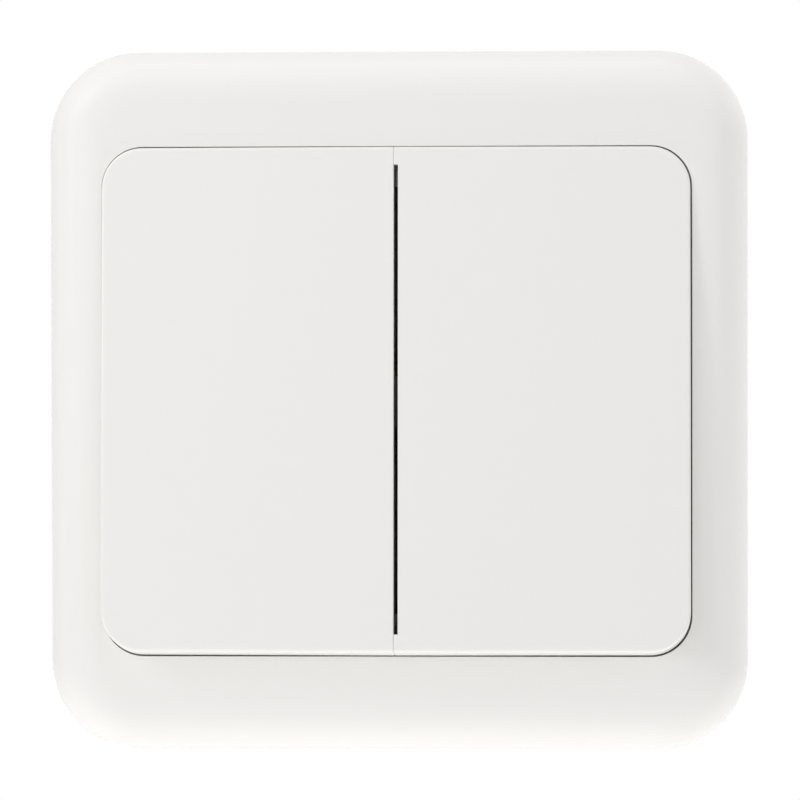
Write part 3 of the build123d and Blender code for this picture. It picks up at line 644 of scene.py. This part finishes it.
class SWITCH_OT_front_frame(Operator):
    """Moulded frame: skirt, round shoulder, crease, window with its collar and ledge, ribs behind"""

    bl_idname = "switch.front_frame"
    bl_label = "Front frame"

    def execute(self, context):
        s = context.scene.switch_frame
        half = s.side / 2
        window_x, window_y = half - s.side_margin, half - s.end_margin
        slope_run = s.shoulder_width - s.shoulder_radius * (1 - sin(s.crease_tilt))
        skirt = s.rise - slope_run * tan(s.crease_tilt) - s.shoulder_radius * cos(s.crease_tilt)

        def outline(inset, level):
            return half - inset, half - inset, s.corner - inset, level

        def window(grow, level):
            return window_x + grow, window_y + grow, s.window_corner + grow, level

        # Up the skirt, over the round shoulder and the slope, and through the crease to the flat front
        rings = [outline(0, 0), outline(0, skirt)]
        for step in range(1, SHOULDER_STEPS + 1):
            angle = step / SHOULDER_STEPS * (radians(90) - s.crease_tilt)
            inset, climb = s.shoulder_radius * (1 - cos(angle)), s.shoulder_radius * sin(angle)
            rings.append(outline(inset, skirt + climb))
        fall = s.crease_round * tan(s.crease_tilt)
        rings.append(outline(s.shoulder_width - s.crease_round, s.rise - fall))
        rings.append(outline(s.shoulder_width, s.rise - fall / 4))
        rings.append(outline(s.shoulder_width + s.crease_round, s.rise))

        # Round the window's edge, down its leaning walls and over the ledge
        for step in range(WINDOW_EDGE_STEPS + 1):
            angle = radians(90) * step / WINDOW_EDGE_STEPS
            grow, sink = s.window_edge * (1 - sin(angle)), s.window_edge * (1 - cos(angle))
            rings.append(window(grow, s.rise - sink))
        ledge_top = s.ledge_base + s.ledge_thick
        deepening = (s.rise - ledge_top) * tan(s.window_draft)
        rings.append(window(deepening, ledge_top))
        ledge_x, ledge_y = window_x - s.side_ledge, window_y - s.ledge_width
        rings.append((ledge_x, ledge_y, s.ledge_corner, ledge_top))
        rings.append((ledge_x, ledge_y, s.ledge_corner, s.ledge_base))

        # Up behind the collar, along the roof, and down a bevel inside the shoulder
        collar = deepening + s.collar_wall
        inner_radius = s.shoulder_radius - s.wall
        roof = s.rise - s.wall
        bevel_foot = skirt + inner_radius * (sqrt(2) - 1)
        rings.append(window(collar, s.ledge_base))
        rings.append(window(collar, roof))
        rings.append(outline(s.shoulder_radius - inner_radius * sqrt(2) + roof - skirt, roof))
        rings.append(outline(s.wall, bevel_foot))
        rings.append(outline(s.wall, 0))
        bm = bmesh.new()
        carry_rings(bm, rings)

        ribs = bmesh.new()
        thick = s.stiffener_thick / 2
        for place in (-s.stiffener_offset, s.stiffener_offset):
            for side in SIDES.values():
                low, high = sorted((side * (window_x + collar - BITE), side * (half - s.wall + BITE)))
                box(ribs, (low, place - thick, s.ledge_base), (high, place + thick, bevel_foot))
                low, high = sorted((side * (window_y + collar - BITE), side * (half - s.wall + BITE)))
                box(ribs, (place - thick, low, s.ledge_base), (place + thick, high, bevel_foot))
        bm = combine(bm, ribs, "UNION")
        bmesh.ops.transform(bm, matrix=ON_WALL, verts=bm.verts)
        place_piece(bm, "front_frame", "base", "white_plastic")
        return {"FINISHED"}


class SWITCH_OT_rockers(Operator):
    """Two rocker caps with leaning ends, rounded edges, webs and clip posts"""

    bl_idname = "switch.rockers"
    bl_label = "Rockers"

    def execute(self, context):
        for side in SIDES:
            self.rocker(context, side)
        return {"FINISHED"}

    def cap(self, inner, outer, low, high, low_end, high_end, corner, crown=0.0):
        """Block like a rocker: round outer corners, and leaning ends that stand out at the inner side."""
        bm = bmesh.new()
        middle = (outer + inner) / 2
        corners = bmesh.ops.create_grid(bm, x_segments=1, y_segments=1, size=1.0)["verts"]
        bmesh.ops.scale(bm, vec=((outer - inner) / 2, low_end, 1), verts=corners)
        bmesh.ops.translate(bm, vec=(middle, 0, low), verts=corners)
        for vert in corners:
            if vert.co.x < middle:
                bmesh.ops.translate(bm, vec=(0, crown if vert.co.y > 0 else -crown, 0), verts=[vert])
        outer_corners = [vert for vert in corners if vert.co.x > middle]
        round_off(bm, outer_corners, corner, CORNER_STEPS, affect="VERTICES")
        top = of_kind(bmesh.ops.extrude_face_region(bm, geom=bm.faces[:])["geom"], BMVert)
        bmesh.ops.translate(bm, vec=(0, 0, high - low), verts=top)
        for end in (-1, 1):
            half = [vert for vert in top if vert.co.y * end > 0]
            bmesh.ops.translate(bm, vec=(0, end * (high_end - low_end), 0), verts=half)
        bmesh.ops.recalc_face_normals(bm, faces=bm.faces)
        return bm

    def step_back(self, bm, inner, nib_start, edge):
        """Moves the inner side of a rocker back to the centre gap, apart from the nibs at its ends."""
        face = max(vert.co.z for vert in bm.verts)
        strip = bmesh.new()
        box(strip, (inner - face, -nib_start, -face), (inner, nib_start, 2 * face))
        bm = combine(bm, strip, "DIFFERENCE")
        front = [
            item for item in bm.edges
            if all(abs(vert.co.z - face) < WELD and abs(vert.co.x - inner) < WELD for vert in item.verts)
        ]
        round_off(bm, front, edge, INNER_EDGE_STEPS)
        return bm

    def notches(self, s, inner, skirt, under, hollow_end, skirt_end):
        """What is cut from a rocker's skirts for the bearing rib and the frame's hooks."""
        bm = bmesh.new()
        deep = skirt - BEYOND
        box(bm, (inner - BEYOND, -s.rib_room, deep), (inner + s.wall + BITE, s.rib_room, under))
        left, right = s.hook_offset - s.hook_room, s.hook_offset + s.hook_room
        for end in (-1, 1):
            low, high = sorted((end * hollow_end, end * (skirt_end + BEYOND)))
            box(bm, (left, low, deep), (right, high, s.hook_height))
        return bm

    def webs_and_posts(self, s, inner, outer, under):
        """What stands under a rocker's face: two stiffening webs and two clip posts with barbs."""
        bm = bmesh.new()
        for place in (-s.web_offset, s.web_offset):
            box(
                bm,
                (inner + s.wall - BITE, place - s.web_thick / 2, under - s.web_depth),
                (outer - s.wall + BITE, place + s.web_thick / 2, under + BITE),
            )
        barb_top = under - s.carrier_plate
        barb_foot = barb_top - s.barb_height
        near, far = s.post_offset - s.post_thick / 2, s.post_offset + s.post_thick / 2
        section = [
            (near, under + BITE), (far, under + BITE), (far, barb_top), (far + s.barb_reach, barb_top),
            (far - s.barb_reach, barb_foot), (near, barb_foot),
        ]
        start = s.gang_offset - s.post_width / 2
        for end in (-1, 1):
            post = bm.faces.new([bm.verts.new((start, end * y, z)) for y, z in section])
            grown = bmesh.ops.extrude_face_region(bm, geom=[post], use_keep_orig=True)["geom"]
            bmesh.ops.translate(bm, vec=(s.post_width, 0, 0), verts=of_kind(grown, BMVert))
        bmesh.ops.recalc_face_normals(bm, faces=bm.faces)
        return bm

    def rocker(self, context, side):
        """One rocker, drawn level about its hinge axis and then tilted into place."""
        f, s = context.scene.switch_frame, context.scene.switch_rockers
        window_x, window_y = f.side / 2 - f.side_margin, f.side / 2 - f.end_margin
        radius = sqrt(window_y**2 + (f.rise - s.hinge_height) ** 2) - s.clearance
        face = f.rise + s.stand - s.hinge_height
        drop = window_y * sin(s.tilt)
        skirt = f.ledge_base + f.ledge_thick + s.skirt_clearance + drop - s.hinge_height
        under = face - s.plate
        face_end, skirt_end = sqrt(radius**2 - face**2), sqrt(radius**2 - skirt**2)
        inner, outer = s.gap / 2, window_x - s.clearance - SIDES[side] * s.side_play
        corner = f.window_corner - s.clearance

        # The front edge is rounded on a wider block, which is then cut square beside the centre gap
        inmost = s.nib_clearance - inner if side == "right" else inner
        bm = self.cap(inmost - s.plate, outer, skirt, face, skirt_end, face_end, corner, s.crown)
        front = max(bm.faces, key=lambda item: item.calc_center_median().z)
        round_off(bm, list(front.edges), s.edge, ROCKER_EDGE_STEPS)
        cut = bmesh.ops.bisect_plane(
            bm, geom=with_rims(bm.faces), dist=TOUCH, plane_co=(inmost, 0, 0), plane_no=(1, 0, 0),
            clear_inner=True,
        )
        rim = of_kind(cut["geom_cut"], BMEdge)
        bmesh.ops.holes_fill(bm, edges=rim, sides=0)
        round_off(bm, rim, s.nib_edge if side == "right" else s.inner_edge, INNER_EDGE_STEPS)
        bmesh.ops.recalc_face_normals(bm, faces=bm.faces)
        if side == "right":
            bm = self.step_back(bm, inner, face_end - s.nib_length, s.inner_edge)

        hollow_end = face_end - s.wall
        hollow = self.cap(
            inner + s.wall, outer - s.wall, skirt - s.plate, under, hollow_end, hollow_end, corner - s.wall
        )
        bm = combine(bm, hollow, "DIFFERENCE")
        bm = combine(bm, self.notches(s, inner, skirt, under, hollow_end, skirt_end), "DIFFERENCE")
        bm = combine(bm, self.webs_and_posts(s, inner, outer, under), "UNION")

        place = ON_WALL @ Matrix.Translation((0, 0, s.hinge_height)) @ Matrix.Rotation(-s.tilt, 4, "X")
        bmesh.ops.transform(bm, matrix=place @ Matrix.Diagonal((SIDES[side], 1, 1, 1)), verts=bm.verts)
        bmesh.ops.recalc_face_normals(bm, faces=bm.faces)
        place_piece(bm, f"{side}_rocker", f"{side}_rocker", "white_plastic")


class SWITCH_OT_carriers(Operator):
    """Tilting cradles and their plungers"""

    bl_idname = "switch.carriers"
    bl_label = "Carriers and plungers"

    def execute(self, context):
        dress_copies(both("carrier", "plunger"), "natural_plastic")
        return {"FINISHED"}


class SWITCH_OT_springs(Operator):
    """Plunger springs of round wire"""

    bl_idname = "switch.springs"
    bl_label = "Springs"

    def execute(self, context):
        s, r = context.scene.switch_metal, context.scene.switch_rockers
        start = s.spring_foot + s.spring_wire / 2 + s.spring_play
        rise = s.spring_length - s.spring_wire - 2 * s.spring_play
        steps = SPRING_STEPS * s.spring_turns
        for side, sign in SIDES.items():
            bm = bmesh.new()
            wire = bmesh.ops.create_circle(
                bm, cap_ends=True, segments=WIRE_STEPS, radius=s.spring_wire / 2
            )["verts"]
            bmesh.ops.rotate(bm, cent=(0, 0, 0), matrix=Matrix.Rotation(radians(90), 3, "X"), verts=wire)
            bmesh.ops.translate(bm, vec=((s.spring_diameter - s.spring_wire) / 2, 0, start), verts=wire)
            bmesh.ops.spin(
                bm, geom=with_rims(bm.faces), cent=(0, 0, 0), axis=(0, 0, 1), dvec=(0, 0, rise / steps),
                angle=radians(360) * s.spring_turns, steps=steps, use_duplicate=False,
            )
            bmesh.ops.remove_doubles(bm, verts=bm.verts, dist=WELD)
            bmesh.ops.recalc_face_normals(bm, faces=bm.faces)
            place = ON_WALL @ Matrix.Translation((sign * r.gang_offset, 0, r.hinge_height))
            place = place @ Matrix.Rotation(-r.tilt, 4, "X")
            bmesh.ops.transform(bm, matrix=place, verts=bm.verts)
            spring = place_piece(
                bm, f"{side}_spring", f"{side}_rocker", "spring_wire", sharp=SHARP_WIRE
            )
            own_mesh(spring)
        return {"FINISHED"}


class SWITCH_OT_mouldings(Operator):
    """Base block and bearing plate"""

    bl_idname = "switch.mouldings"
    bl_label = "Base and bearing plate"

    def execute(self, context):
        dress_copies(["base_block", "bearing_plate"], "dark_plastic")
        return {"FINISHED"}


class SWITCH_OT_steel(Operator):
    """Support yoke and spreading claws"""

    bl_idname = "switch.steel"
    bl_label = "Yoke and claws"

    def execute(self, context):
        dress_copies(["support_yoke"] + both("claw"), "zinc_steel")
        return {"FINISHED"}


class SWITCH_OT_contacts(Operator):
    """Brass bus, strips, seesaws and terminals with their silver pads"""

    bl_idname = "switch.contacts"
    bl_label = "Contacts and terminals"

    def execute(self, context):
        brass = ["common_bus", "common_terminal"] + both("contact_seesaw", "fixed_strip", "terminal")
        dress_copies(brass, "brass")
        dress_copies(both("moving_contact", "fixed_contact"), "silver")
        return {"FINISHED"}


class SWITCH_OT_screws(Operator):
    """Slotted screws with cut threads"""

    bl_idname = "switch.screws"
    bl_label = "Screws"

    def execute(self, context):
        s = context.scene.switch_metal
        places = []
        low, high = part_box("terminal_screws")
        for node, up in (("common_terminal", 1), ("left_terminal", -1), ("right_terminal", -1)):
            first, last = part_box(node)
            middle = (Vector(first) + Vector(last)) / 2
            head_top = high.z if up > 0 else low.z
            seat = Vector((middle.x, middle.y, head_top - up * s.head_height))
            reach = abs(seat.z - middle.z) - s.wire_bore / 2 - s.tip_clearance
            places.append((seat, (0, 0, up), reach, s.terminal_screw, s.terminal_head))
        self.screws(places, "terminal_screws")
        low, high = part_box("claw_screws")
        x = (high.x - low.x - s.claw_head) / 2
        seat_y = low.y + s.head_height
        places = [
            (Vector((sign * x, seat_y, 0)), (0, -1, 0), high.y - seat_y, s.claw_screw, s.claw_head)
            for sign in SIDES.values()
        ]
        self.screws(places, "claw_screws")
        return {"FINISHED"}

    def screws(self, places, node):
        """Like screws as one piece: seat, way the head looks, shank length, shank and head diameters."""
        bm = bmesh.new()
        for seat, way, reach, shank, head in places:
            one = self.screw(reach, shank, head)
            turn_to = Vector((0, 0, 1)).rotation_difference(Vector(way)).to_matrix().to_4x4()
            bmesh.ops.transform(one, matrix=Matrix.Translation(seat) @ turn_to, verts=one.verts)
            mesh = bpy.data.meshes.new("screw")
            one.to_mesh(mesh)
            one.free()
            bm.from_mesh(mesh)
            bpy.data.meshes.remove(mesh)
        place_piece(bm, node, "base", "zinc_steel", sharp=SHARP_SCREW)

    def screw(self, reach, shank, head):
        """Cheese head with its seat at the origin, and a threaded shank below it."""
        s = bpy.context.scene.switch_metal
        bm = bmesh.new()
        slot_floor = s.head_height - s.slot_depth
        drum = bmesh.ops.create_cone(
            bm, cap_ends=True, segments=HEAD_STEPS, radius1=head / 2, radius2=head / 2, depth=slot_floor
        )["verts"]
        bmesh.ops.translate(bm, vec=(0, 0, slot_floor / 2), verts=drum)
        for edge in (-1, 1):
            top = [face for face in bm.faces if min(vert.co.z for vert in face.verts) > slot_floor - NEAR]
            bmesh.ops.bisect_plane(
                bm, geom=with_rims(top), dist=TOUCH, plane_co=(0, edge * s.screw_slot / 2, 0),
                plane_no=(0, 1, 0),
            )
        middles = {face: face.calc_center_median() for face in bm.faces}
        lands = [
            face for face, middle in middles.items()
            if middle.z > slot_floor - NEAR and abs(middle.y) > s.screw_slot / 2
        ]
        risen = bmesh.ops.extrude_discrete_faces(bm, faces=lands)["faces"]
        bmesh.ops.translate(
            bm, vec=(0, 0, s.slot_depth), verts=list({vert for face in risen for vert in face.verts})
        )
        rims = [
            edge for face in risen for edge in face.edges
            if all(vert.co.xy.length > head / 2 - NEAR for vert in edge.verts)
        ]
        round_off(bm, rims, s.head_edge, SOFT_EDGE_STEPS)

        # The thread is one helix of a triangle, longer than the shank, and is cut square at both ends
        crest, root = shank / 2, shank / 2 - s.thread_depth
        start = -reach - s.thread_pitch
        profile = [(root, start), (crest, start + s.thread_pitch / 2), (root, start + s.thread_pitch)]
        verts = [bm.verts.new((x, 0, z)) for x, z in profile]
        edges = [bm.edges.new(pair) for pair in zip(verts, verts[1:])]
        turns = int((reach + 2 * s.thread_pitch) / s.thread_pitch) + 1
        bmesh.ops.spin(
            bm, geom=verts + edges, cent=(0, 0, 0), axis=(0, 0, 1),
            dvec=(0, 0, s.thread_pitch / THREAD_STEPS), angle=radians(360) * turns,
            steps=THREAD_STEPS * turns, use_duplicate=False,
        )
        bmesh.ops.remove_doubles(bm, verts=bm.verts, dist=WELD)
        shell = [face for face in bm.faces if all(vert.co.xy.length < crest + NEAR for vert in face.verts)]
        for level, way in ((-reach, -1), (s.shank_root, 1)):
            cut = bmesh.ops.bisect_plane(
                bm, geom=with_rims(shell), dist=TOUCH, plane_co=(0, 0, level), plane_no=(0, 0, way),
                clear_outer=True,
            )
            bmesh.ops.holes_fill(bm, edges=of_kind(cut["geom_cut"], BMEdge), sides=0)
            shell = [face for face in of_kind(cut["geom"], BMFace) if face.is_valid]
        bmesh.ops.recalc_face_normals(bm, faces=bm.faces)
        return bm


class SWITCH_OT_stage(Operator):
    """Pale floor, soft light and the camera at the photograph's angle"""

    bl_idname = "switch.stage"
    bl_label = "Stage"

    def execute(self, context):
        scene = context.scene
        scene.view_settings.view_transform = "Standard"
        self.lay_floor(scene)
        self.light_room(scene)
        self.hang_lamps(scene)
        self.aim_camera(scene)
        return {"FINISHED"}

    def lay_floor(self, scene):
        """Round floor of paper."""
        s = scene.switch_stage
        bm = bmesh.new()
        bmesh.ops.create_circle(bm, cap_ends=True, segments=FLOOR_STEPS, radius=s.floor_size)
        bmesh.ops.translate(bm, vec=(0, 0, -s.floor_drop), verts=bm.verts)
        mesh = bpy.data.meshes.new("floor")
        bm.to_mesh(mesh)
        bm.free()
        mesh.materials.append(floor_paper())
        floor = bpy.data.objects.new("floor", mesh)
        scene.collection.objects.link(floor)

    def light_room(self, scene):
        """Soft light from all round, stronger from the right, behind a background that is seen as white."""
        s = scene.switch_stage
        world = bpy.data.worlds.new("white_studio")
        scene.world = world
        world.use_nodes = True
        tree = world.node_tree
        tree.nodes.clear()
        way = add_node(tree, "ShaderNodeTexCoord").outputs["Generated"]
        lean = add_node(
            tree, "ShaderNodeVectorMath", links=[(way, 0)], values=[(1, (s.side_light, 0, 0))],
            operation="DOT_PRODUCT",
        ).outputs["Value"]
        level = add_node(
            tree, "ShaderNodeMath", links=[(lean, 0)], values=[(1, s.room_light)], operation="ADD"
        ).outputs[0]
        soft = add_node(
            tree, "ShaderNodeBackground", links=[(level, "Strength")], values=[("Color", (1, 1, 1, 1))]
        ).outputs["Background"]
        white = add_node(
            tree, "ShaderNodeBackground", values=[("Color", (1, 1, 1, 1)), ("Strength", 1.0)]
        ).outputs["Background"]
        mix = add_node(tree, "ShaderNodeMixShader", links=[(background_rays(tree), 0), (soft, 1), (white, 2)])
        add_node(tree, "ShaderNodeOutputWorld", links=[(mix.outputs["Shader"], "Surface")])

    def hang_lamps(self, scene):
        """Square lamps and panels, all turned to the middle of the switch."""
        s = scene.switch_stage
        lamps = {
            "left_panel": (s.left_panel, s.panel_size, s.left_place),
            "front_panel": (s.front_panel, s.panel_size, s.front_place),
            "low_lamp": (s.low_lamp, s.lamp_size, s.low_place),
            "top_lamp": (s.top_lamp, s.lamp_size, s.top_place),
            "side_lamp": (s.side_lamp, s.lamp_size, s.side_place),
            "key_lamp": (s.key_lamp, s.lamp_size, s.key_place),
        }
        for name, (watts, size, place) in lamps.items():
            light = bpy.data.lights.new(name, "AREA")
            light.shape = "SQUARE"
            light.size = size
            light.energy = watts
            lamp = bpy.data.objects.new(name, light)
            lamp.location = place
            lamp.visible_glossy = False
            lamp.rotation_mode = "QUATERNION"
            lamp.rotation_quaternion = (-lamp.location).to_track_quat("-Z", "Y")
            scene.collection.objects.link(lamp)

    def aim_camera(self, scene):
        """Camera at the photograph's angle, with its field at the wall plane."""
        s = scene.switch_stage
        lens = bpy.data.cameras.new("camera")
        lens.sensor_width = SENSOR_MM
        lens.lens = SENSOR_MM * s.distance / s.field
        lens.clip_start = NEAREST
        camera = bpy.data.objects.new("camera", lens)
        camera.location = s.distance * Vector((
            sin(s.azimuth) * cos(s.elevation), -cos(s.azimuth) * cos(s.elevation), sin(s.elevation)
        ))
        camera.rotation_mode = "QUATERNION"
        level_view = (-camera.location).to_track_quat("-Z", "Y")
        camera.rotation_quaternion = level_view @ Quaternion((0, 0, 1), -s.roll)
        scene.collection.objects.link(camera)
        scene.camera = camera


class SWITCH_PT_panel(Panel):
    """Buttons for the pieces of the switch and its stage"""

    bl_label = "Double light switch"
    bl_idname = "SWITCH_PT_panel"
    bl_space_type = "VIEW_3D"
    bl_region_type = "UI"
    bl_category = "Switch"

    def draw(self, context):
        for operator in OPERATORS:
            self.layout.operator(operator.bl_idname)


GROUPS = {
    "switch_frame": SwitchFrameSizes,
    "switch_rockers": SwitchRockerSizes,
    "switch_metal": SwitchMetalSizes,
    "switch_colours": SwitchColours,
    "switch_stage": SwitchStage,
}
OPERATORS = (
    SWITCH_OT_front_frame,
    SWITCH_OT_rockers,
    SWITCH_OT_carriers,
    SWITCH_OT_springs,
    SWITCH_OT_mouldings,
    SWITCH_OT_steel,
    SWITCH_OT_contacts,
    SWITCH_OT_screws,
    SWITCH_OT_stage,
)


def register():
    for name, group in GROUPS.items():
        bpy.utils.register_class(group)
        setattr(bpy.types.Scene, name, PointerProperty(type=group))
    for operator in OPERATORS:
        bpy.utils.register_class(operator)
    bpy.utils.register_class(SWITCH_PT_panel)


def unregister():
    bpy.utils.unregister_class(SWITCH_PT_panel)
    for operator in reversed(OPERATORS):
        bpy.utils.unregister_class(operator)
    for name, group in GROUPS.items():
        delattr(bpy.types.Scene, name)
        bpy.utils.unregister_class(group)


def main():
    register()
    bpy.ops.switch.front_frame()
    bpy.ops.switch.rockers()
    bpy.ops.switch.carriers()
    bpy.ops.switch.springs()
    bpy.ops.switch.mouldings()
    bpy.ops.switch.steel()
    bpy.ops.switch.contacts()
    bpy.ops.switch.screws()
    bpy.ops.switch.stage()


if __name__ == "__main__":
    main()
